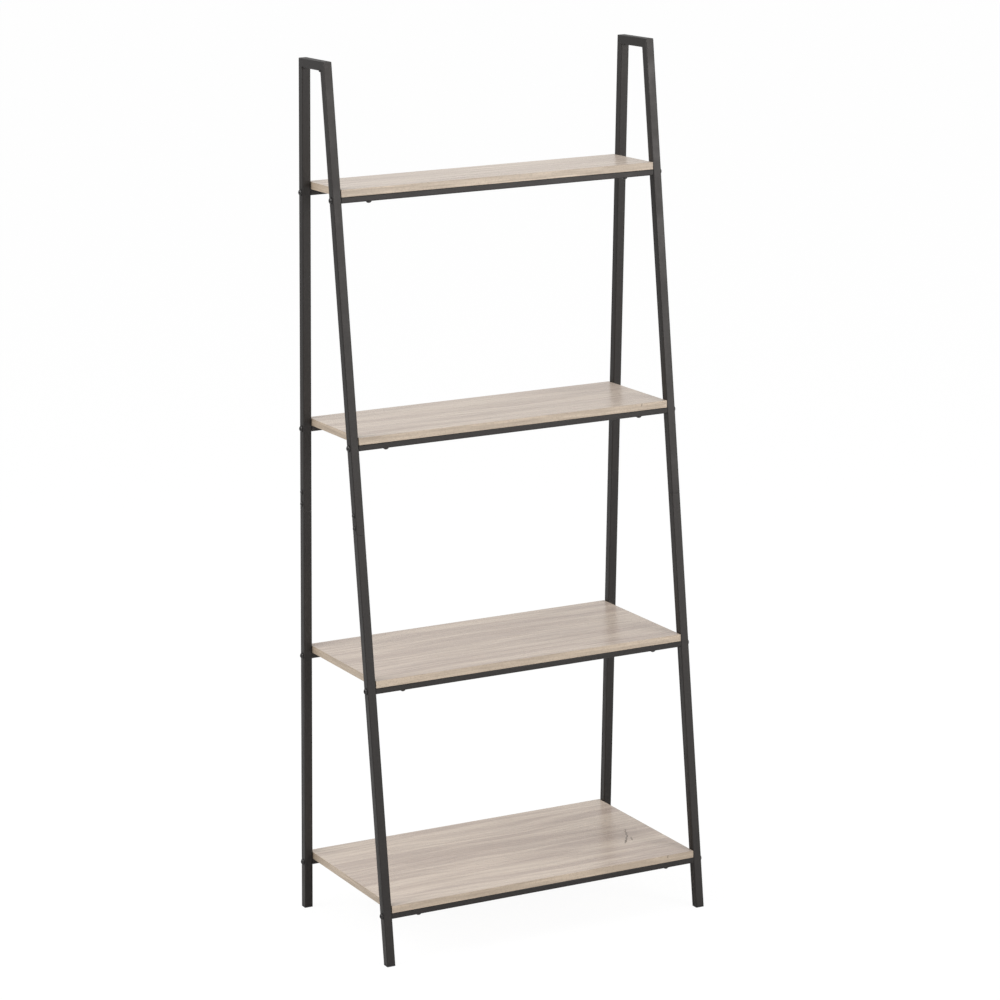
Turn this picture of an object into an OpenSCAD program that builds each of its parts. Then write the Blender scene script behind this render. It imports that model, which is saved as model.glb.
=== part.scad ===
// Ladder shelf: two A-shaped side frames of square steel tube, joined by pairs of
// rails that carry four boards. It goes together with bolts and screws.
// Z is up, the front faces -Y, and the origin is on the floor, in the middle of
// the footprint. The rear left leg is drawn in full, and the others are its mirror images.

/* [Overall] */
// Height from the floor to the top of the side frames
overall_h = 1482; // [1440:1:1600]
// Width across the outer faces of the side frames
overall_w = 600; // [450:10:900]
// Depth of the footprint, across the outer faces of the feet
base_depth = 360; // [330:5:420]
// Depth of each side frame across its top
top_depth = 100; // [80:5:140]

/* [Side frames] */
// Side of the square frame tube
tube = 15; // [12:1:18]
// Wall of the frame tube
tube_wall = 1; // [0.8:0.1:1.2]
// Radius of the frame tube's outer corners
tube_round = 1.5; // [1.3:0.1:2]
// Height of the joint where each leg comes apart
joint_h = 719; // [650:1:750]

/* [Shelves] */
// Thickness of the boards
board_t = 12; // [9:1:18]
// Height of the underside of each board, from the bottom one up
board_seats = [89, 466, 866, 1266];
// Gap between the end of a board and the leg beside it
board_gap = 0.5; // [0.2:0.1:2]
// Thickness of the edge band
band_t = 0.8; // [0.4:0.1:1.5]

/* [Rails] */
// Height of a rail's section
rail_h = 10; // [9:1:12]
// Wall of the rail tube
rail_wall = 1; // [0.8:0.1:1.2]
// Radius of the rail's outer corners
rail_round = 1.5; // [1.3:0.1:2]
// Length of the threaded block welded into each end of a rail
rail_block_l = 15; // [12:1:25]

/* [Feet] */
// Thickness of a foot plug's sole
sole_t = 2; // [1.5:0.5:4]
// How far a foot plug reaches up inside its leg
plug_reach = 14; // [10:1:25]

/* [Joiners] */
// How far a joiner reaches each way from the joint
joiner_reach = 45; // [40:1:60]
// Wall of the joiner tube
joiner_wall = 2; // [1.5:0.5:3]
// Heights of the two joiner screws above the joint, along the leg
joiner_screw_steps = [11, 32];

/* [Fasteners] */
// Diameter of the frame bolts
frame_bolt_d = 6; // [5:1:6]
// Diameter of a frame bolt's head
frame_bolt_head_d = 11; // [9:0.5:12]
// Height of a frame bolt's head
frame_bolt_head_h = 3.8; // [2:0.1:4.5]
// Diameter of the joiner screws
joiner_screw_d = 5; // [4:1:5]
// Diameter of a joiner screw's head
joiner_screw_head_d = 8.5; // [7:0.5:9]
// Height of a joiner screw's head
joiner_screw_head_h = 2.5; // [1.5:0.5:3]
// Diameter of the board screws
board_screw_d = 4; // [3:0.5:5]
// Diameter of a board screw's head
board_screw_head_d = 9.5; // [7:0.5:10]
// Height of a board screw's head
board_screw_head_h = 3.8; // [2:0.1:4.5]
// Distance of the board screws from the ends of their rail
board_screw_inset = 51; // [30:1:90]

/* [Hidden] */
// Lean of every leg from the vertical
lean = atan((base_depth - top_depth) / 2 / overall_h);
// Width of the tube where a level plane cuts a leaning leg
tube_level = tube / cos(lean);
// Y of the leg's centre line at the floor
foot_y = (base_depth - tube_level) / 2;
// X of the centre plane of a side frame
frame_x = (overall_w - tube) / 2;
// Distance between the inner faces of the side frames, which is a rail's length
inner_w = overall_w - 2 * tube;
// Width of a board, with its edge band
board_w = inner_w - 2 * board_gap;
// Seam where two strips of edge band meet
band_seam = 0.1;
// Inside of the frame tube
tube_bore = tube - 2 * tube_wall;
tube_bore_round = tube_round - tube_wall;
// Distance of the joint from the floor, along the leg
joint_s = joint_h / cos(lean);
// Slack around everything that slides into a tube
slip = 0.1;
// Slack on the diameter of a threaded hole, and of a clearance hole
thread_slack = 0.05;
clear_slack = 0.4;
// How far the frame bolts and board screws engage
frame_bolt_grip = 12;
board_screw_grip = 8;
board_hole_extra = 1;
// Hexagon socket in the bolt heads
bolt_socket = 4;
screw_socket = 3;
socket_depth_part = 0.55;
// Part of a head that is its straight rim
head_rim_part = 0.3;
// Distance that cutting shapes run past what they cut
past = 5;
// Ribs round a foot plug's stem
plug_core = 8;
plug_rib_t = 1;
plug_rib_step = 4;

frame_colour = [0.19, 0.18, 0.18];
fastener_colour = [0.10, 0.10, 0.10];
plug_colour = [0.06, 0.06, 0.06];
steel_colour = [0.55, 0.55, 0.57];
board_colour = [0.78, 0.73, 0.68];
band_colour = [0.74, 0.67, 0.58];

$fn = 48;

// Y of a rear leg's centre line at height z
function leg_y(z) = foot_y - z * tan(lean);
// Height of the centre of the rails under a board
function rail_z(seat) = seat - rail_h / 2;
// Y of the centre of the rear rail under a board
function rail_y(seat) = leg_y(rail_z(seat));
// Depth of a board, flush with the outer faces of its rails
function board_depth(seat) = 2 * rail_y(seat) + tube;

// ---- Sections and placing ----

// Rectangle with round corners, centred
module round_rect(w, h, r) {
    square([w, h - 2 * r], center = true);
    square([w - 2 * r, h], center = true);
    for (x = [-1, 1], y = [-1, 1])
        translate([x * (w / 2 - r), y * (h / 2 - r)]) circle(r);
}

// Round-cornered tube along Z, standing on z = 0
module tube_along(w, h, r, wall, length) {
    difference() {
        linear_extrude(length) round_rect(w, h, r);
        translate([0, 0, -past])
            linear_extrude(length + 2 * past)
                round_rect(w - 2 * wall, h - 2 * wall, r - wall);
    }
}

// Children drawn with Z up the centre line of the rear left leg, from the floor
module up_the_leg() {
    translate([-frame_x, foot_y, 0]) rotate([lean, 0, 0]) children();
}

// Block over a side frame whose outline is given as [y, z] points
module side_outline(points) {
    translate([-frame_x, 0, 0])
        rotate([90, 0, 90])
            linear_extrude(tube + 2 * past, center = true) polygon(points);
}

// The four legs are one leg, mirrored
module to_front() { mirror([0, 1, 0]) children(); }
module to_right() { mirror([1, 0, 0]) children(); }

// ---- Mitre at the top corner ----

// Outer and inner corners of the mitre, as [y, z]
mitre_out = [leg_y(overall_h) + tube_level / 2, overall_h];
mitre_in = [leg_y(overall_h - tube) - tube_level / 2, overall_h - tube];
mitre_dir = (mitre_out - mitre_in) / norm(mitre_out - mitre_in);
mitre_high = mitre_out + past * mitre_dir;
mitre_low = mitre_in - past * mitre_dir;

// Everything on the leg's side of the mitre
module leg_side_of_mitre() {
    side_outline([mitre_high, mitre_low, [mitre_low[0], 0],
                  [foot_y + tube, 0], [foot_y + tube, mitre_high[1]]]);
}

// Everything between the two mitres
module bar_side_of_mitre() {
    side_outline([mitre_high, mitre_low, [-mitre_low[0], mitre_low[1]],
                  [-mitre_high[0], mitre_high[1]]]);
}

// ---- Fasteners, seated on z = 0 with the head up ----

// Pan head with a short straight rim, a domed top and a hexagon socket
module pan_head(d, h, socket) {
    dome_h = h * (1 - head_rim_part);
    dome_r = (d * d / 4 + dome_h * dome_h) / (2 * dome_h);
    depth = h * socket_depth_part;
    difference() {
        intersection() {
            translate([0, 0, h - dome_r]) sphere(dome_r);
            cylinder(d = d, h = h);
        }
        translate([0, 0, h - depth])
            cylinder(d = socket / cos(30), h = depth + past, $fn = 6);
    }
}

module pan_screw(d, length, head_d, head_h, socket) {
    overlap = head_h * (1 - socket_depth_part) / 2;
    pan_head(head_d, head_h, socket);
    translate([0, 0, -length]) cylinder(d = d, h = length + overlap);
}

// Children at one bolt position of every corner, with Z out of the frame's side
module at_frame_bolts(seat) {
    for (side = [0, 1], end = [0, 1])
        mirror([side, 0, 0]) mirror([0, end, 0])
            translate([-overall_w / 2, rail_y(seat), rail_z(seat)])
                rotate([0, -90, 0]) children();
}

// Children at each joiner screw of the rear left leg, with Z out of the frame's side
module at_joiner_screws() {
    up_the_leg()
        for (step = joiner_screw_steps)
            translate([-tube / 2, 0, joint_s + step]) rotate([0, -90, 0]) children();
}

// Children at each board screw under a rail, with Z down out of the rail
module at_board_screws(seat, rail_side) {
    for (side = [-1, 1])
        translate([side * (inner_w / 2 - board_screw_inset), rail_side * rail_y(seat), seat - rail_h])
            rotate([180, 0, 0]) children();
}

// ---- Side frames ----

module leg_bolt_holes() {
    for (seat = board_seats)
        at_frame_bolts(seat)
            translate([0, 0, -tube - past])
                cylinder(d = frame_bolt_d + clear_slack, h = tube + 2 * past);
}

module upper_leg_tube() {
    color(frame_colour)
        difference() {
            intersection() {
                up_the_leg()
                    translate([0, 0, joint_s])
                        tube_along(tube, tube, tube_round, tube_wall, overall_h);
                leg_side_of_mitre();
            }
            leg_bolt_holes();
            at_joiner_screws()
                translate([0, 0, -tube / 2])
                    cylinder(d = joiner_screw_d + clear_slack, h = tube / 2 + past);
        }
}

module lower_leg_tube() {
    color(frame_colour)
        difference() {
            up_the_leg()
                translate([0, 0, -past])
                    tube_along(tube, tube, tube_round, tube_wall, joint_s + past);
            below_level(sole_t);
            leg_bolt_holes();
        }
}

module top_bar() {
    color(frame_colour)
        intersection() {
            translate([-frame_x, top_depth, overall_h - tube / 2])
                rotate([90, 0, 0])
                    tube_along(tube, tube, tube_round, tube_wall, 2 * top_depth);
            bar_side_of_mitre();
        }
}

// Everything under a level plane, round the rear left foot
module below_level(z) {
    translate([-frame_x, foot_y, z - 2 * tube]) cube(4 * tube, center = true);
}

// ---- Pieces inside the legs ----

module joiner() {
    side = tube_bore - 2 * slip;
    color(steel_colour)
        difference() {
            up_the_leg()
                translate([0, 0, joint_s - joiner_reach])
                    difference() {
                        linear_extrude(2 * joiner_reach) round_rect(side, side, tube_bore_round);
                        translate([0, 0, -past])
                            linear_extrude(2 * (joiner_reach + past))
                                square(side - 2 * joiner_wall, center = true);
                    }
            at_joiner_screws()
                translate([0, 0, -tube / 2])
                    cylinder(d = joiner_screw_d + thread_slack, h = tube / 2);
        }
}

module joiner_screws() {
    grip = tube_wall + slip + joiner_wall;
    color(fastener_colour)
        at_joiner_screws()
            pan_screw(joiner_screw_d, grip, joiner_screw_head_d, joiner_screw_head_h, screw_socket);
}

// Sole the size of the tube, and a ribbed stem pushed up inside it
module foot_plug() {
    side = tube_bore - 2 * slip;
    color(plug_colour)
        difference() {
            up_the_leg() {
                intersection() {
                    translate([0, 0, -past])
                        linear_extrude(sole_t + 2 * past) round_rect(tube, tube, tube_round);
                    rotate([-lean, 0, 0])
                        translate([0, 0, sole_t / 2]) cube([2 * tube, 2 * tube, sole_t], center = true);
                }
                linear_extrude(plug_reach) square(plug_core, center = true);
                for (rib = [plug_rib_step : plug_rib_step : plug_reach - plug_rib_t])
                    translate([0, 0, rib])
                        linear_extrude(plug_rib_t) round_rect(side, side, tube_bore_round);
            }
            below_level(0);
        }
}

// ---- Rails ----

module rail(seat, rail_side) {
    color(frame_colour)
        difference() {
            translate([-inner_w / 2, rail_side * rail_y(seat), rail_z(seat)])
                rotate([90, 0, 90])
                    tube_along(tube, rail_h, rail_round, rail_wall, inner_w);
            at_board_screws(seat, rail_side)
                translate([0, 0, -rail_h - past])
                    cylinder(d = board_screw_d + clear_slack, h = rail_h + 2 * past);
        }
}

// Threaded block inside each end of both rails of a shelf
module rail_blocks(seat) {
    color(steel_colour)
        at_frame_bolts(seat)
            translate([0, 0, -tube - rail_block_l])
                difference() {
                    linear_extrude(rail_block_l)
                        round_rect(rail_h - 2 * rail_wall, tube - 2 * rail_wall, rail_round - rail_wall);
                    translate([0, 0, -past])
                        cylinder(d = frame_bolt_d + thread_slack, h = rail_block_l + 2 * past);
                }
}

module frame_bolts(seat) {
    color(fastener_colour)
        at_frame_bolts(seat)
            pan_screw(frame_bolt_d, tube + frame_bolt_grip, frame_bolt_head_d,
                         frame_bolt_head_h, bolt_socket);
}

// ---- Boards ----

// Board blank, with its edges set in to leave room for the band
module slab(seat, inset) {
    translate([0, 0, seat + board_t / 2])
        cube([board_w - 2 * inset, board_depth(seat) - 2 * inset, board_t], center = true);
}

module board(seat) {
    color(board_colour)
        difference() {
            slab(seat, band_t);
            for (rail_side = [-1, 1])
                at_board_screws(seat, rail_side)
                    translate([0, 0, -rail_h - board_screw_grip - board_hole_extra])
                        cylinder(d = board_screw_d + thread_slack,
                                 h = board_screw_grip + board_hole_extra + past);
        }
}

// Strips of edge band: the front and rear ones run the full width
module edge_band(seat) {
    depth = board_depth(seat);
    short_l = depth - 2 * (band_t + band_seam);
    color(band_colour)
        for (side = [-1, 1]) {
            translate([0, side * (depth - band_t) / 2, seat + board_t / 2])
                cube([board_w, band_t, board_t], center = true);
            translate([side * (board_w - band_t) / 2, 0, seat + board_t / 2])
                cube([band_t, short_l, board_t], center = true);
        }
}

module board_screws(seat) {
    color(fastener_colour)
        for (rail_side = [-1, 1])
            at_board_screws(seat, rail_side)
                pan_screw(board_screw_d, rail_h + board_screw_grip, board_screw_head_d,
                             board_screw_head_h, screw_socket);
}

// ---- Sub-parts ----

upper_leg_tube();  // left_upper_rear_tube
to_front() upper_leg_tube();  // left_upper_front_tube
top_bar();  // left_top_bar
lower_leg_tube();  // left_lower_rear_tube
to_front() lower_leg_tube();  // left_lower_front_tube
to_right() upper_leg_tube();  // right_upper_rear_tube
to_right() to_front() upper_leg_tube();  // right_upper_front_tube
to_right() top_bar();  // right_top_bar
to_right() lower_leg_tube();  // right_lower_rear_tube
to_right() to_front() lower_leg_tube();  // right_lower_front_tube
joiner();  // left_rear_joiner
to_front() joiner();  // left_front_joiner
to_right() joiner();  // right_rear_joiner
to_right() to_front() joiner();  // right_front_joiner
joiner_screws();  // left_rear_joiner_screws
to_front() joiner_screws();  // left_front_joiner_screws
to_right() joiner_screws();  // right_rear_joiner_screws
to_right() to_front() joiner_screws();  // right_front_joiner_screws
foot_plug();  // left_rear_foot_plug
to_front() foot_plug();  // left_front_foot_plug
to_right() foot_plug();  // right_rear_foot_plug
to_right() to_front() foot_plug();  // right_front_foot_plug
board(board_seats[0]);  // bottom_board
board(board_seats[1]);  // second_board
board(board_seats[2]);  // third_board
board(board_seats[3]);  // top_board
edge_band(board_seats[0]);  // bottom_edge_band
edge_band(board_seats[1]);  // second_edge_band
edge_band(board_seats[2]);  // third_edge_band
edge_band(board_seats[3]);  // top_edge_band
rail(board_seats[0], -1);  // bottom_front_rail
rail(board_seats[1], -1);  // second_front_rail
rail(board_seats[2], -1);  // third_front_rail
rail(board_seats[3], -1);  // top_front_rail
rail(board_seats[0], 1);  // bottom_rear_rail
rail(board_seats[1], 1);  // second_rear_rail
rail(board_seats[2], 1);  // third_rear_rail
rail(board_seats[3], 1);  // top_rear_rail
rail_blocks(board_seats[0]);  // bottom_rail_blocks
rail_blocks(board_seats[1]);  // second_rail_blocks
rail_blocks(board_seats[2]);  // third_rail_blocks
rail_blocks(board_seats[3]);  // top_rail_blocks
frame_bolts(board_seats[0]);  // bottom_frame_bolts
frame_bolts(board_seats[1]);  // second_frame_bolts
frame_bolts(board_seats[2]);  // third_frame_bolts
frame_bolts(board_seats[3]);  // top_frame_bolts
board_screws(board_seats[0]);  // bottom_board_screws
board_screws(board_seats[1]);  // second_board_screws
board_screws(board_seats[2]);  // third_board_screws
board_screws(board_seats[3]);  // top_board_screws
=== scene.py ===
# %% [markdown]
# # A four-board ladder shelf, finished and lit
# The shelf is two A-shaped side frames of 15 mm square steel tube, four oak-print boards that get
# deeper towards the floor, and a thin steel rail under each long edge of each board.
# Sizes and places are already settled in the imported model, so this lesson never moves a part.
# It loads that model, then adds what makes it look real: rounded arrises, weld beads in the frame
# corners, a powder coat, a printed oak grain, and the light of a white studio.

# %% Load the fixed frame
import math

import bmesh
import bpy
from mathutils import Matrix, Vector


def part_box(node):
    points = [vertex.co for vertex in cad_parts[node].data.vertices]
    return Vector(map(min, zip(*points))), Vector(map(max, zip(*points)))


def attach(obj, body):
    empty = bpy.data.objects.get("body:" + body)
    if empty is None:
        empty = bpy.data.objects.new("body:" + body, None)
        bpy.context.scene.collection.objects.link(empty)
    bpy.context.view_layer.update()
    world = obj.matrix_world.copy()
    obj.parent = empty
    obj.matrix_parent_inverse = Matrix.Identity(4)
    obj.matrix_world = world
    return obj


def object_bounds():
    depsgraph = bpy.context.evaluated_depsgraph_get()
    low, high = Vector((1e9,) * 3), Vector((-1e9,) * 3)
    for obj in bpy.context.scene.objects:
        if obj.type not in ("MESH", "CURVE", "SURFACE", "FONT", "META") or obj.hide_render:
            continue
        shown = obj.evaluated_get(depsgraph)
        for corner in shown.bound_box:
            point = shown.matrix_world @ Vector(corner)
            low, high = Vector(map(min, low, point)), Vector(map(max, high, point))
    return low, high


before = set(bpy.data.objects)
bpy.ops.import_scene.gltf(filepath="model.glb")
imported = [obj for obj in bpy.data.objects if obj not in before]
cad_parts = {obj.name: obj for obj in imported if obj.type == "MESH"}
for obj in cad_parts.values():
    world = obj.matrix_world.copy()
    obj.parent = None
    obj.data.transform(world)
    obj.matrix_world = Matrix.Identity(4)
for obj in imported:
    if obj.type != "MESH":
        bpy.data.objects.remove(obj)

design_low, design_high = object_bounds()
shelf_height = design_high.z
print("nodes loaded:", len(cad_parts), "height in metres:", round(shelf_height, 4))

# %% [markdown]
# ## Camera
# A tall thin object is best seen from a little left of its front and from above the top board, so
# that every board shows its upper face and its front edge. A long lens from about six metres
# keeps the legs straight and the boards' depths in proportion. A short lens close by would
# show the same faces but make the feet splay. The camera turns, tips and rolls in that order, which
# is why the rotation is built as three matrices and not typed in as angles.

# %% Place the camera
CAMERA_PLACE = Vector((-2.551, -5.275, 2.030))
CAMERA_TURN = math.radians(25.96)
CAMERA_TIP = math.radians(-12.598)
CAMERA_ROLL = math.radians(-1.528)
LENS_MM = 128.012
SENSOR_MM = 36.0
VIEW_END = 100.0

scene = bpy.context.scene
camera_data = bpy.data.cameras.new("studio_camera")
camera_data.lens = LENS_MM
camera_data.sensor_width = SENSOR_MM
camera_data.clip_end = VIEW_END
camera = bpy.data.objects.new("studio_camera", camera_data)
turn = Matrix.Rotation(-CAMERA_TURN, 3, "Z")
tip = Matrix.Rotation(math.pi / 2 + CAMERA_TIP, 3, "X")
roll = Matrix.Rotation(CAMERA_ROLL, 3, "Z")
camera.matrix_world = Matrix.Translation(CAMERA_PLACE) @ (turn @ tip @ roll).to_4x4()
scene.collection.objects.link(camera)
scene.camera = camera
print("camera to the origin in metres:", round(CAMERA_PLACE.length, 2))

# %% [markdown]
# ## A helper for wiring nodes
# A finish is a small network of nodes. Writing each node and each link on its own line hides the
# idea, so this helper puts a node down and wires its inputs in one call. An input is given
# either as a plain number or colour, or as the socket of the node that feeds it.

# %% Wiring helper
class Wiring:
    """Puts nodes into one shader tree and joins them."""

    def __init__(self, tree):
        self.tree = tree

    def put(self, kind, inputs=None, **settings):
        """A new node, with its settings and its inputs."""
        node = self.tree.nodes.new("ShaderNode" + kind)
        for name, value in settings.items():
            setattr(node, name, value)
        for key, value in (inputs or {}).items():
            if isinstance(value, bpy.types.NodeSocket):
                self.tree.links.new(value, node.inputs[key])
            else:
                node.inputs[key].default_value = value
        return node

    def math(self, operation, a, b=0.0):
        return self.put("Math", {0: a, 1: b}, operation=operation).outputs[0]

    def vector(self, operation, a, b):
        return self.put("VectorMath", {0: a, 1: b}, operation=operation).outputs[0]

    def soften(self, value, low, high, to_low=0.0, to_high=1.0):
        """Low to high becomes to_low to to_high, with soft ends."""
        limits = {"From Min": low, "From Max": high, "To Min": to_low, "To Max": to_high}
        node = self.put("MapRange", {"Value": value, **limits}, interpolation_type="SMOOTHSTEP")
        return node.outputs["Result"]

    def blend(self, amount, a, b):
        """Colour a where amount is 0, colour b where it is 1."""
        return self.put("Mix", {0: amount, 6: a, 7: b}, data_type="RGBA").outputs[2]

    def noise(self, place, size, detail=2.0, roughness=0.5, shift=0.0):
        """A soft random value. Size is how far apart its lumps are along each axis, in metres."""
        stretched = self.vector("DIVIDE", place, size)
        inputs = {"Vector": stretched, "W": shift, "Scale": 1.0, "Detail": detail}
        inputs["Roughness"] = roughness
        return self.put("TexNoise", inputs, noise_dimensions="4D").outputs["Fac"]


# %% Shared effect helper
def shared_effect(name, inputs, outputs):
    """An empty node group with named sockets: its wiring, its inputs and its outputs."""
    tree = bpy.data.node_groups.new(name, "ShaderNodeTree")
    for label, (kind, value) in inputs.items():
        kind = "NodeSocket" + kind
        socket = tree.interface.new_socket(name=label, in_out="INPUT", socket_type=kind)
        socket.default_value = value
    for label in outputs:
        tree.interface.new_socket(name=label, in_out="OUTPUT", socket_type="NodeSocketFloat")
    entry = tree.nodes.new("NodeGroupInput")
    leave = tree.nodes.new("NodeGroupOutput")
    return Wiring(tree), entry.outputs, leave.inputs


# %% [markdown]
# ## Studio floor and background
# The shelf stands on a pale floor that meets a white background with almost no line between them. The
# floor is a large flat sheet. What the camera sees of the floor and of the space behind is lifted to
# white, while the light that reaches the shelf is softer, as it is in a studio whose paper is lit by
# lamps of its own. The Light Path node tells the two apart.

# %% Lay the floor
FLOOR_HALF = 30.0
FLOOR_PAINT = (0.80, 0.80, 0.80, 1.0)
FLOOR_GLOW = 1.05
FLOOR_LIFT = 0.90

floor_mesh = bpy.data.meshes.new("studio_floor")
sheet = bmesh.new()
bmesh.ops.create_grid(sheet, x_segments=1, y_segments=1, size=FLOOR_HALF)
sheet.to_mesh(floor_mesh)
sheet.free()
floor = bpy.data.objects.new("studio_floor", floor_mesh)
scene.collection.objects.link(floor)

floor_paper = bpy.data.materials.new("studio_paper")
floor_paper.use_nodes = True
floor_paper.node_tree.nodes.clear()
w = Wiring(floor_paper.node_tree)
seen = w.put("LightPath").outputs["Is Camera Ray"]
lift = w.math("MULTIPLY", seen, FLOOR_LIFT)
glow = w.put("Emission", {"Strength": FLOOR_GLOW}).outputs[0]
paper = w.put("BsdfDiffuse", {"Color": FLOOR_PAINT}).outputs[0]
both = w.put("MixShader", {0: lift, 1: paper, 2: glow}).outputs[0]
w.put("OutputMaterial", {"Surface": both})
floor_mesh.materials.append(floor_paper)
print("floor sheet in metres:", 2 * FLOOR_HALF)

# %% Light the background
BACKGROUND_SEEN = 1.00
BACKGROUND_LIGHT = 0.58
WHITE = (1.0, 1.0, 1.0, 1.0)

world = bpy.data.worlds.new("white_studio")
scene.world = world
world.use_nodes = True
world.node_tree.nodes.clear()
w = Wiring(world.node_tree)
seen = w.put("LightPath").outputs["Is Camera Ray"]
span = BACKGROUND_SEEN - BACKGROUND_LIGHT
strength = w.math("MULTIPLY_ADD", seen, span)
strength.node.inputs[2].default_value = BACKGROUND_LIGHT
backdrop = w.put("Background", {"Color": WHITE, "Strength": strength}).outputs[0]
w.put("OutputWorld", {"Surface": backdrop})
scene.view_settings.view_transform = "Standard"
print("background, seen and as light:", BACKGROUND_SEEN, BACKGROUND_LIGHT)

# %% [markdown]
# ## Soft lamps
# Each lamp is a large square of cloth with a lamp behind it, so its shadows are soft. The front
# right panel stands where the steel's front faces mirror it towards the camera, so it gives the
# black coat its sheen, more at the top of the shelf than near the floor. A weaker one below it
# carries that sheen down the legs. The left panel lights the ends of the boards and the legs' outer
# faces, and hangs high so that the boards don't mirror it. The top lamp fills the boards.

# %% Hang the soft lamps
AIM = Vector((0.0, 0.0, 0.75))


def soft_lamp(name, place, aim, width, height, watts):
    """A rectangular soft lamp that faces a point."""
    data = bpy.data.lights.new(name, "AREA")
    data.shape = "RECTANGLE"
    data.size = width
    data.size_y = height
    data.energy = watts
    lamp = bpy.data.objects.new(name, data)
    lamp.location = place
    lamp.rotation_euler = (Vector(aim) - Vector(place)).to_track_quat("-Z", "Y").to_euler()
    scene.collection.objects.link(lamp)


LAMPS = {
    "front_right_panel": ((2.2, -3.8, 2.0), (0.0, 0.0, 1.2), 1.6, 1.4, 66.0),
    "front_right_low": ((2.0, -3.6, 0.8), (0.0, 0.0, 1.0), 1.4, 1.4, 12.0),
    "left_panel": ((-3.1, 0.1, 2.8), (0.0, 0.0, 0.8), 2.4, 2.4, 60.0),
    "top_lamp": ((0.0, -0.3, 3.4), AIM, 3.0, 3.0, 16.0),
}
for lamp_name, facts in LAMPS.items():
    soft_lamp(lamp_name, *facts)
print("lamps:", ", ".join(LAMPS))

# %% [markdown]
# ## Effects that several finishes share
# Powder coat, moulded plastic and the printed edge band all have a fine random speckle. Steel and
# plastic are paler along a worn arris, and on the powder coat and the edge band the same edge mask also
# paints a highlight there. Dust settles on whatever faces up. Each of these is built once as a node
# group, and each finish sets its own numbers on it.

# %% Fine speckle
w, given, result = shared_effect(
    "fine_speckle",
    {"Grain Size": ("Float", 0.001), "Detail": ("Float", 2.0)},
    ["Mask"],
)
place = w.put("TexCoord").outputs["Object"]
per_metre = w.math("DIVIDE", 1.0, given["Grain Size"])
inputs = {"Vector": place, "Scale": per_metre, "Detail": given["Detail"], "Roughness": 0.6}
w.tree.links.new(w.put("TexNoise", inputs).outputs["Fac"], result["Mask"])
fine_speckle = w.tree

# %% Worn edge and painted edge highlight
w, given, result = shared_effect(
    "worn_edge_and_highlight",
    {"Width": ("Float", 0.001), "Break Up": ("Float", 0.02)},
    ["Mask"],
)
rounded = w.put("Bevel", {"Radius": given["Width"]}, samples=4).outputs["Normal"]
flat = w.put("NewGeometry").outputs["Normal"]
facing = w.put("VectorMath", {0: rounded, 1: flat}, operation="DOT_PRODUCT").outputs["Value"]
near_edge = w.soften(facing, 0.999, 0.90)
place = w.put("TexCoord").outputs["Object"]
per_metre = w.math("DIVIDE", 1.0, given["Break Up"])
patches = w.put("TexNoise", {"Vector": place, "Scale": per_metre, "Detail": 3.0}).outputs["Fac"]
broken = w.soften(patches, 0.35, 0.60)
w.tree.links.new(w.math("MULTIPLY", near_edge, broken), result["Mask"])
worn_edge_and_highlight = w.tree

# %% Settled dust
w, given, result = shared_effect(
    "settled_dust",
    {"Patch Size": ("Float", 0.05), "Amount": ("Float", 0.3)},
    ["Mask"],
)
normal = w.put("NewGeometry").outputs["Normal"]
upward = w.put("SeparateXYZ", {"Vector": normal}).outputs["Z"]
lies = w.soften(upward, 0.70, 0.99)
place = w.put("TexCoord").outputs["Object"]
per_metre = w.math("DIVIDE", 1.0, given["Patch Size"])
patches = w.put("TexNoise", {"Vector": place, "Scale": per_metre, "Detail": 5.0}).outputs["Fac"]
spread = w.math("MULTIPLY", w.soften(patches, 0.30, 0.75), given["Amount"])
w.tree.links.new(w.math("MULTIPLY", lies, spread), result["Mask"])
settled_dust = w.tree

# %% [markdown]
# ## Oak print
# The boards are chipboard under printed paper. The print copies pale washed oak: broad bands of
# slightly warmer and greyer wood, narrower wavy streaks, hair-fine fibres and short dark pores. An
# image of wood would repeat and blur close up, so the print is made from noise that is stretched
# along the grain: a lump that is 300 mm long and 18 mm wide reads as a band, one that
# is 10 mm long and 0.5 mm wide reads as a pore.

# %% Oak print effect
RING_SPACING = 0.013
RING_SWELL = 26.0

w, given, result = shared_effect(
    "oak_print",
    {
        "Place": ("Vector", (0.0, 0.0, 0.0)),
        "Shift": ("Float", 0.0),
        "Wave": ("Float", 0.012),
        "Scale": ("Float", 1.0),
    },
    ["Bands", "Streaks", "Rings", "Fibres", "Pores"],
)
shift = given["Shift"]
scaled = w.put("VectorMath", {0: given["Place"], "Scale": given["Scale"]}, operation="SCALE").outputs[0]
drift = w.noise(scaled, (0.34, 0.11, 0.11), detail=2.0, shift=shift)
drift = w.math("MULTIPLY", w.math("SUBTRACT", drift, 0.5), given["Wave"])
sideways = w.put("CombineXYZ", {"X": 0.0, "Y": drift, "Z": 0.0}).outputs[0]
wavy = w.vector("ADD", scaled, sideways)
bands = w.noise(wavy, (0.30, 0.018, 0.018), detail=2.0, roughness=0.50, shift=shift)
streaks = w.noise(wavy, (0.16, 0.0062, 0.0062), detail=3.0, roughness=0.55, shift=shift)
fibres = w.noise(wavy, (0.030, 0.0007, 0.0007), detail=2.0, roughness=0.6, shift=shift)
dashes = w.noise(wavy, (0.010, 0.0005, 0.0005), detail=1.0, roughness=0.5, shift=shift)
swell = w.noise(scaled, (0.42, 0.085, 0.085), detail=1.0, roughness=0.4, shift=shift)
across = w.put("SeparateXYZ", {"Vector": wavy}).outputs["Y"]
turns = w.math("MULTIPLY", w.math("DIVIDE", across, RING_SPACING), 2 * math.pi)
phase = w.math("ADD", turns, w.math("MULTIPLY", swell, RING_SWELL))
rings = w.math("ADD", w.math("MULTIPLY", w.math("SINE", phase), 0.5), 0.5)
porous = w.soften(streaks, 0.48, 0.62)
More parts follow.
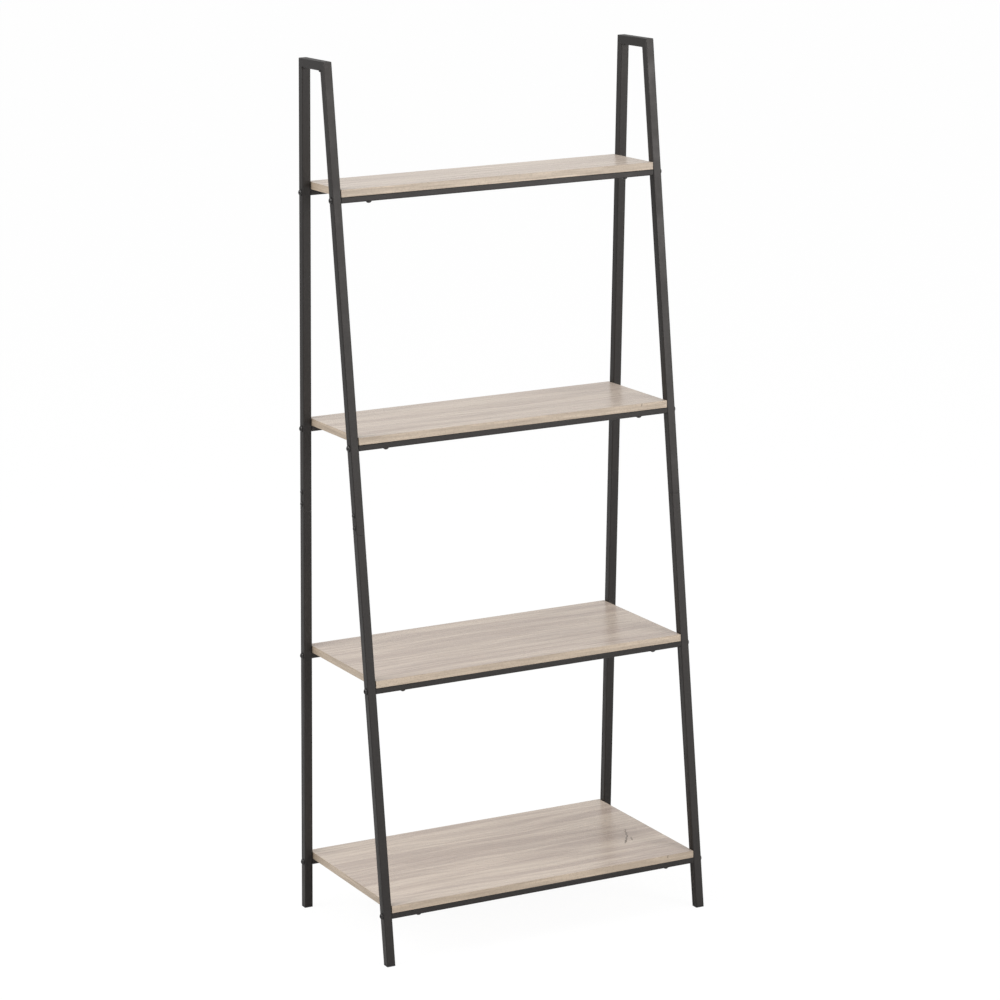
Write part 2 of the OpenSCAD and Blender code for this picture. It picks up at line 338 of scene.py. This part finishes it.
pores = w.math("MULTIPLY", w.soften(dashes, 0.60, 0.70), porous)
answers = {"Bands": bands, "Streaks": streaks, "Rings": rings, "Fibres": fibres, "Pores": pores}
for label, socket in answers.items():
    w.tree.links.new(socket, result[label])
oak_print = w.tree
print("oak print outputs:", ", ".join(answers))

# %% [markdown]
# Printed oak also repeats a few blemishes of the tree it was copied from: a forked crack near the
# right end of the bottom board, and small knots. A crack is a line between two points, so this group
# measures how far the surface is from such a line and darkens what is close to it.

# %% Crack effect
w, given, result = shared_effect(
    "crack_line",
    {
        "From": ("Vector", (0.0, 0.0, 0.0)),
        "To": ("Vector", (0.1, 0.0, 0.0)),
        "Width": ("Float", 0.001),
        "Wander": ("Float", 0.002),
    },
    ["Mask"],
)
place = w.put("TexCoord").outputs["Object"]
wobble = w.put("TexNoise", {"Vector": place, "Scale": 90.0, "Detail": 2.0}).outputs["Color"]
wobble = w.vector("SUBTRACT", wobble, (0.5, 0.5, 0.5))
wobble = w.put("VectorMath", {0: wobble, "Scale": given["Wander"]}, operation="SCALE").outputs[0]
here = w.vector("SUBTRACT", w.vector("ADD", place, wobble), given["From"])
line = w.vector("SUBTRACT", given["To"], given["From"])
reach = w.put("VectorMath", {0: here, 1: line}, operation="DOT_PRODUCT").outputs["Value"]
whole = w.put("VectorMath", {0: line, 1: line}, operation="DOT_PRODUCT").outputs["Value"]
share = w.put("Math", {0: reach, 1: whole}, operation="DIVIDE", use_clamp=True).outputs[0]
foot = w.put("VectorMath", {0: line, "Scale": share}, operation="SCALE").outputs[0]
away = w.put("VectorMath", {0: here, 1: foot}, operation="DISTANCE").outputs["Value"]
ratio = w.math("DIVIDE", away, given["Width"])
w.tree.links.new(w.soften(ratio, 1.0, 0.3), result["Mask"])
crack_line = w.tree

# %% [markdown]
# ## Finish helper
# Every finish here is one Principled BSDF. What varies over the surface comes in through links, and
# what is the same all over is set on the shader itself.

# %% Finish helper
def start_finish(name):
    """An empty material and the wiring for it."""
    material = bpy.data.materials.new(name)
    material.use_nodes = True
    material.node_tree.nodes.clear()
    return material, Wiring(material.node_tree)


def end_finish(w, height, bump_depth, **shader):
    """The shader, its bump and the output. Height is 0 to 1, bump_depth in metres."""
    bump = {"Height": height, "Strength": 1.0, "Distance": bump_depth}
    normal = w.put("Bump", bump).outputs["Normal"]
    inputs = {key.replace("_", " "): value for key, value in shader.items()}
    surface = w.put("BsdfPrincipled", {**inputs, "Normal": normal}).outputs[0]
    w.put("OutputMaterial", {"Surface": surface})


finishes = {}

# %% [markdown]
# ## Black powder coat
# The tubes and rails are sprayed with black powder and baked. The coat is satin, with an
# orange-peel surface whose lumps are about a millimetre wide, a slightly uneven shade, a paler line
# along the tube's corners that is partly a thinner coat and partly a painted highlight, and a trace
# of dust on what faces up. A car-paint shader with a clear coat would look too wet, so the gloss here
# is one broad highlight.

# %% Powder coat finish
COAT_DARK = (0.0095, 0.0082, 0.0078, 1.0)
COAT_LIGHT = (0.0150, 0.0130, 0.0122, 1.0)
# Paler coat along the arrises: partly a thinner coat, partly a painted highlight.
COAT_EDGE_AND_HIGHLIGHT = (0.050, 0.046, 0.043, 1.0)
COAT_SHEEN = (1.00, 0.95, 0.92, 1.0)
PEEL_DEPTH = 0.00006
DUST = (0.30, 0.29, 0.28, 1.0)

material, w = start_finish("black_powder_coat")
speckle = w.put("Group", {"Grain Size": 0.0011, "Detail": 2.0}, node_tree=fine_speckle).outputs[0]
cloud = w.put("Group", {"Grain Size": 0.045, "Detail": 4.0}, node_tree=fine_speckle).outputs[0]
edge_wear_and_highlight = w.put("Group", {"Width": 0.0011, "Break Up": 0.03}, node_tree=worn_edge_and_highlight).outputs[0]
dust = w.put("Group", {"Patch Size": 0.02, "Amount": 0.16}, node_tree=settled_dust).outputs[0]
mottle = w.math("ADD", w.math("MULTIPLY", speckle, 0.4), w.math("MULTIPLY", cloud, 0.6))
shade = w.soften(mottle, 0.3, 0.7)
colour = w.blend(shade, COAT_DARK, COAT_LIGHT)
# Painted highlight along the tube's arrises, partly also a thinner coat there.
colour = w.blend(w.math("MULTIPLY", edge_wear_and_highlight, 0.5), colour, COAT_EDGE_AND_HIGHLIGHT)
colour = w.blend(dust, colour, DUST)
satin = w.soften(cloud, 0.3, 0.7, 0.40, 0.50)
satin = w.math("ADD", satin, w.math("MULTIPLY", dust, 0.6))
end_finish(
    w, speckle, PEEL_DEPTH,
    Base_Color=colour, Roughness=satin, Specular_IOR_Level=0.45, Specular_Tint=COAT_SHEEN,
)
finishes["frame_coat"] = material

# %% [markdown]
# ## Blackened bolts and screws
# The heads are steel with a black oxide skin: still a metal, so its highlight is tinted and strong,
# with fine turning marks and bright spots where a key has rubbed the arris.

# %% Blackened steel finish
OXIDE_DARK = (0.030, 0.029, 0.029, 1.0)
OXIDE_LIGHT = (0.070, 0.067, 0.065, 1.0)
BARE_STEEL = (0.20, 0.19, 0.185, 1.0)
TURNING_DEPTH = 0.00002

material, w = start_finish("blackened_steel")
speckle = w.put("Group", {"Grain Size": 0.0006, "Detail": 3.0}, node_tree=fine_speckle).outputs[0]
edge_wear_and_highlight = w.put("Group", {"Width": 0.0004, "Break Up": 0.004}, node_tree=worn_edge_and_highlight).outputs[0]
colour = w.blend(w.soften(speckle, 0.3, 0.7), OXIDE_DARK, OXIDE_LIGHT)
colour = w.blend(w.math("MULTIPLY", edge_wear_and_highlight, 0.5), colour, BARE_STEEL)
rough = w.soften(speckle, 0.3, 0.7, 0.22, 0.34)
end_finish(w, speckle, TURNING_DEPTH, Base_Color=colour, Roughness=rough, Metallic=0.75)
finishes["bolt_black"] = material

# %% [markdown]
# ## Foot plugs
# The plugs are moulded polyethylene. The mould is spark-eroded, so the plastic has a dull, even
# texture, with a few scuffs near the sole where it meets the floor.

# %% Moulded plastic finish
PLASTIC = (0.022, 0.022, 0.023, 1.0)
PLASTIC_PALE = (0.045, 0.045, 0.046, 1.0)
SCUFF = (0.14, 0.135, 0.13, 1.0)
MOULD_DEPTH = 0.00003

material, w = start_finish("moulded_plug_plastic")
speckle = w.put("Group", {"Grain Size": 0.0004, "Detail": 2.0}, node_tree=fine_speckle).outputs[0]
edge_wear_and_highlight = w.put("Group", {"Width": 0.0006, "Break Up": 0.005}, node_tree=worn_edge_and_highlight).outputs[0]
colour = w.blend(w.soften(speckle, 0.3, 0.7), PLASTIC, PLASTIC_PALE)
colour = w.blend(w.math("MULTIPLY", edge_wear_and_highlight, 0.4), colour, SCUFF)
rough = w.soften(speckle, 0.3, 0.7, 0.50, 0.62)
end_finish(w, speckle, MOULD_DEPTH, Base_Color=colour, Roughness=rough, Specular_IOR_Level=0.4)
finishes["plug_plastic"] = material

# %% [markdown]
# ## Plain steel
# The joiners inside the legs and the blocks inside the rails are cut from zinc-plated bar. They
# show only when the shelf is taken apart: a bright metal with cloudy patches and drawn lines.

# %% Zinc-plated steel finish
ZINC_DARK = (0.42, 0.43, 0.45, 1.0)
ZINC_LIGHT = (0.60, 0.61, 0.62, 1.0)
DRAWN_DEPTH = 0.00002

material, w = start_finish("zinc_plated_steel")
place = w.put("TexCoord").outputs["Object"]
cloud = w.put("Group", {"Grain Size": 0.006, "Detail": 3.0}, node_tree=fine_speckle).outputs[0]
edge_wear_and_highlight = w.put("Group", {"Width": 0.0005, "Break Up": 0.01}, node_tree=worn_edge_and_highlight).outputs[0]
drawn = w.noise(place, (0.0004, 0.0004, 0.060), detail=2.0)
colour = w.blend(w.soften(cloud, 0.3, 0.7), ZINC_DARK, ZINC_LIGHT)
rough = w.math("ADD", w.soften(drawn, 0.3, 0.7, 0.28, 0.42), w.math("MULTIPLY", edge_wear_and_highlight, -0.08))
end_finish(w, drawn, DRAWN_DEPTH, Base_Color=colour, Roughness=rough, Metallic=1.0)
finishes["plain_steel"] = material

# %% [markdown]
# ## Board faces
# The melamine face is semi-gloss: at a low angle it picks up the white room and a blurred, dark
# reflection of the legs. The print's parts are laid over each other from broad to fine, and
# the fibres and pores are pressed into the surface as well, by a few hundredths of a millimetre. Each
# board takes a different cut of the same print, because its height above the floor shifts the noise.

# %% Board face finish
OAK_WARM = (0.775, 0.665, 0.560, 1.0)
OAK_GREY = (0.590, 0.490, 0.420, 1.0)
OAK_STREAK = (0.470, 0.375, 0.320, 1.0)
OAK_PORE = (0.360, 0.290, 0.235, 1.0)
CRACK_BROWN = (0.150, 0.105, 0.075, 1.0)
# Painted shade: the print is laid deeper on the lowest board and fainter on the highest, so the boards
# get darker towards the floor.
PRINT_DEPTH_LOW_SHADED = 1.15
PRINT_DEPTH_HIGH_LIT = 0.60
BOARD_STEP = 0.1
PRINT_JUMP = 37.0
BOARD_WAVE = 0.055
BOARD_DEPTH = 0.00004
CRACK_WIDTH = 0.0022
CRACK_WANDER = 0.008
CRACK_STRENGTH = 0.90


def board_shift(w, place):
    """A number that is the same all over one board and different on the next."""
    height = w.put("SeparateXYZ", {"Vector": place}).outputs["Z"]
    level = w.math("SNAP", w.math("ADD", height, BOARD_STEP / 2), BOARD_STEP)
    return w.math("MULTIPLY", level, PRINT_JUMP)


def lay_print(w, tones, parts, strengths, depth_and_shade):
    """The print's colour: bands first, then rings, streaks, fibres and pores over them."""
    warm, grey, streak, pore = tones
    bands = w.math("MULTIPLY", w.soften(parts["Bands"], 0.35, 0.65), depth_and_shade)
    colour = w.blend(bands, warm, grey)
    layers = [
        (w.soften(parts["Rings"], 0.45, 1.0), streak, strengths[0]),
        (w.soften(parts["Streaks"], 0.46, 0.72), streak, strengths[1]),
        (w.soften(parts["Fibres"], 0.45, 0.75), streak, strengths[2]),
        (parts["Pores"], pore, strengths[3]),
    ]
    for mask, tone, strength in layers:
        amount = w.math("MULTIPLY", w.math("MULTIPLY", mask, strength), depth_and_shade)
        colour = w.blend(amount, colour, tone)
    return colour


material, w = start_finish("oak_print_melamine")
place = w.put("TexCoord").outputs["Object"]
shift = board_shift(w, place)
inputs = {"Place": place, "Shift": shift, "Wave": BOARD_WAVE, "Scale": 1.0}
parts = w.put("Group", inputs, node_tree=oak_print).outputs
tones = (OAK_WARM, OAK_GREY, OAK_STREAK, OAK_PORE)
height = w.put("SeparateXYZ", {"Vector": place}).outputs["Z"]
# Painted shade: deeper print low down and fainter print high up make the boards darker towards the
# floor.
depth_and_shade = w.soften(height, 0.1, 1.3, PRINT_DEPTH_LOW_SHADED, PRINT_DEPTH_HIGH_LIT)
colour = lay_print(w, tones, parts, (0.22, 0.20, 0.13, 0.30), depth_and_shade)
bottom_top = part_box("bottom_board")[1].z
fork = Vector((0.224, -0.045, bottom_top))
crack_ends = [
    (Vector((0.240, -0.008, bottom_top)), fork),
    (fork, Vector((0.204, -0.075, bottom_top))),
    (Vector((0.228, -0.050, bottom_top)), Vector((0.223, -0.066, bottom_top))),
]
for start, end in crack_ends:
    inputs = {"From": start, "To": end, "Width": CRACK_WIDTH, "Wander": CRACK_WANDER}
    mask = w.put("Group", inputs, node_tree=crack_line).outputs[0]
    colour = w.blend(w.math("MULTIPLY", mask, CRACK_STRENGTH), colour, CRACK_BROWN)
dust = w.put("Group", {"Patch Size": 0.08, "Amount": 0.05}, node_tree=settled_dust).outputs[0]
colour = w.blend(dust, colour, DUST)
height = w.math("SUBTRACT", w.math("MULTIPLY", parts["Fibres"], 0.5), parts["Pores"])
sheen = w.soften(parts["Streaks"], 0.3, 0.7, 0.24, 0.31)
end_finish(w, height, BOARD_DEPTH, Base_Color=colour, Roughness=sheen, Specular_IOR_Level=0.75)
finishes["board_face"] = material

# %% [markdown]
# ## Edge bands
# The bands are a thin printed strip, yellower and more speckled than the faces. On the front and back
# edges the grain runs along X. On the two ends it runs along Y, so the finish reads which way the
# surface faces and turns the grain to suit.

# %% Edge band finish
# The warm tone is also the colour of the painted highlight along the band's arrises.
BAND_WARM_AND_EDGE_HIGHLIGHT = (0.600, 0.485, 0.368, 1.0)
BAND_GREY = (0.455, 0.365, 0.275, 1.0)
BAND_STREAK = (0.330, 0.255, 0.185, 1.0)
BAND_PORE = (0.290, 0.220, 0.155, 1.0)
BAND_WAVE = 0.004
BAND_SHIFT = 5.0
BAND_SCALE = 2.2
BAND_DEPTH = 0.00003
KNOT_LONG = 0.004
KNOT_SLANT = 0.001
KNOT_WIDTH = 0.0016
KNOT_WANDER = 0.002
KNOT_STRENGTH = 0.80

material, w = start_finish("oak_print_edge_band")
place = w.put("TexCoord").outputs["Object"]
axes = w.put("SeparateXYZ", {"Vector": place}).outputs
facing = w.put("SeparateXYZ", {"Vector": w.put("NewGeometry").outputs["Normal"]}).outputs["X"]
on_end = w.soften(w.math("ABSOLUTE", facing), 0.4, 0.6)
gap = w.math("SUBTRACT", axes["Y"], axes["X"])
along = w.math("ADD", axes["X"], w.math("MULTIPLY", on_end, gap))
turned = w.put("CombineXYZ", {"X": along, "Y": axes["Z"], "Z": 0.0}).outputs[0]
shift = w.math("ADD", board_shift(w, place), BAND_SHIFT)
inputs = {"Place": turned, "Shift": shift, "Wave": BAND_WAVE, "Scale": BAND_SCALE}
parts = w.put("Group", inputs, node_tree=oak_print).outputs
tones = (BAND_WARM_AND_EDGE_HIGHLIGHT, BAND_GREY, BAND_STREAK, BAND_PORE)
colour = lay_print(w, tones, parts, (0.20, 0.55, 0.30, 0.45), 1.0)
fleck = w.put("Group", {"Grain Size": 0.0022, "Detail": 2.0}, node_tree=fine_speckle).outputs[0]
colour = w.blend(w.soften(fleck, 0.46, 0.70, 0.0, 0.50), colour, BAND_STREAK)
knots = [("bottom_edge_band", 0.2350), ("third_edge_band", 0.2365)]
for band, across in knots:
    low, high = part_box(band)
    top = Vector((across, low.y, high.z))
    end = top - Vector((KNOT_SLANT, 0.0, KNOT_LONG))
    inputs = {"From": top, "To": end, "Width": KNOT_WIDTH, "Wander": KNOT_WANDER}
    mask = w.put("Group", inputs, node_tree=crack_line).outputs[0]
    colour = w.blend(w.math("MULTIPLY", mask, KNOT_STRENGTH), colour, CRACK_BROWN)
# Painted highlight: the band's arrises are lightened towards the warm tone.
edge_wear_and_highlight = w.put("Group", {"Width": 0.0007, "Break Up": 0.03}, node_tree=worn_edge_and_highlight).outputs[0]
colour = w.blend(w.math("MULTIPLY", edge_wear_and_highlight, 0.35), colour, BAND_WARM_AND_EDGE_HIGHLIGHT)
height = w.math("SUBTRACT", w.math("MULTIPLY", parts["Fibres"], 0.5), parts["Pores"])
sheen = w.soften(parts["Streaks"], 0.3, 0.7, 0.36, 0.46)
end_finish(w, height, BAND_DEPTH, Base_Color=colour, Roughness=sheen, Specular_IOR_Level=0.80)
finishes["edge_band"] = material
print("finishes:", ", ".join(finishes))

# %% [markdown]
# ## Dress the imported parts
# A part keeps the mesh it was packed with. It arrives with each face's corners apart, so a Weld
# modifier joins them, and a Bevel rounds the sharp arrises by a fraction of a millimetre. The boards'
# faces are left sharp, because the edge bands cover their edges. The bevel
# hardens the normals so that the flat faces stay flat. A sharp CAD edge catches no light, and this
# small rounding is what draws the thin bright line along a real tube. Its finish replaces the
# plain one that came in the part's material slot.

# %% Round the arrises and give each part its finish
WELD_GAP = 0.000002
SHARP_ANGLE = math.radians(35)
JOINT_ARRIS = 0.0009
ARRIS_SEGMENTS = 2
ARRIS = {
    "frame_coat": 0.00035,
    "bolt_black": 0.00015,
    "plug_plastic": 0.00030,
    "plain_steel": 0.00020,
    "board_face": 0.0,
    "edge_band": 0.00030,
}


def round_arrises(part, width):
    """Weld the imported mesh's seams and round its sharp edges, without touching the mesh."""
    weld = part.modifiers.new("weld_seams", "WELD")
    weld.merge_threshold = WELD_GAP
    if width:
        bevel = part.modifiers.new("round_arrises", "BEVEL")
        bevel.width = width
        bevel.segments = ARRIS_SEGMENTS
        bevel.limit_method = "ANGLE"
        bevel.angle_limit = SHARP_ANGLE
        bevel.harden_normals = True
        bevel.use_clamp_overlap = True


counts = {}
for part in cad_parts.values():
    slot_name = part.material_slots[0].material.name
    for slot in part.material_slots:
        slot.material = finishes[slot_name]
    at_joint = part.name.endswith("_tube") and "_lower_" in part.name
    round_arrises(part, JOINT_ARRIS if at_joint else ARRIS[slot_name])
    counts[slot_name] = counts.get(slot_name, 0) + 1
print("parts dressed:", counts)

# %% [markdown]
# ## Weld beads
# A top bar meets its two legs in mitred corners, and each corner is welded on the inside. A weld is
# a row of small overlapping drops, so each bead is a ring of points carried along the corner, with a
# radius that swells and shrinks once per drop. About a quarter of it shows and the rest sinks into
# the tubes.
# One thing here is wrong and is left to be put right: the beads' X comes from the whole shelf's box,
# which the bolt heads make wider than the tubes. So each bead sits 3.5 mm too far out and pokes
# 1.9 mm through the outer face. The top bar's own box is where X ought to come from.

# %% Lay a weld bead in each inner corner
BEAD_RADIUS = 0.0016
BEAD_RIPPLE = 0.00022
BEAD_DROP = 0.0016
BEAD_INSET = 0.0016
BEAD_SIDES = 14
RINGS_PER_DROP = 6
BEAD_TAPER = 4.0


def weld_bead(name, middle, length):
    """A rippled bead along X, closed at both ends by its own taper."""
    shape = bmesh.new()
    count = round(length / BEAD_DROP * RINGS_PER_DROP)
    rings = []
    for step in range(1, count):
        along = step / count
        drop = math.sin(2 * math.pi * along * length / BEAD_DROP)
        end = min(1.0, BEAD_TAPER * math.sqrt(along * (1.0 - along)))
        radius = (BEAD_RADIUS + BEAD_RIPPLE * drop) * end
        ring = []
        for side in range(BEAD_SIDES):
            angle = 2 * math.pi * side / BEAD_SIDES
            y = radius * math.cos(angle)
            z = radius * math.sin(angle)
            ring.append(shape.verts.new((length * (along - 0.5), y, z)))
        rings.append(ring)
    for near, far in zip(rings, rings[1:]):
        for side in range(BEAD_SIDES):
            after = (side + 1) % BEAD_SIDES
            shape.faces.new((near[side], near[after], far[after], far[side]))
    for ring, place in ((rings[0], -0.5), (rings[-1], 0.5)):
        tip = shape.verts.new((length * place, 0.0, 0.0))
        for side in range(BEAD_SIDES):
            shape.faces.new((tip, ring[side], ring[(side + 1) % BEAD_SIDES]))
    bmesh.ops.recalc_face_normals(shape, faces=shape.faces)
    for face in shape.faces:
        face.smooth = True
    mesh = bpy.data.meshes.new(name)
    shape.to_mesh(mesh)
    shape.free()
    mesh.materials.append(finishes["frame_coat"])
    bead = bpy.data.objects.new(name, mesh)
    bead.location = middle
    scene.collection.objects.link(bead)
    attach(bead, "root")


bar_low, bar_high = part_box("left_top_bar")
tube_side = bar_high.x - bar_low.x
corner_z = bar_low.z
lean = math.atan((design_high.y - bar_high.y) / shelf_height)
corner_y = design_high.y - corner_z * math.tan(lean) - tube_side / math.cos(lean)
for hand, side in (("left", -1), ("right", 1)):
    for end, way in (("front", -1), ("rear", 1)):
        frame_x = side * (design_high.x - tube_side / 2)
        middle = Vector((frame_x, way * corner_y, corner_z))
        weld_bead(f"{hand}_{end}_corner_weld", middle, tube_side - 2 * BEAD_INSET)
print("bead corner in metres:", round(corner_y, 5), round(corner_z, 5))
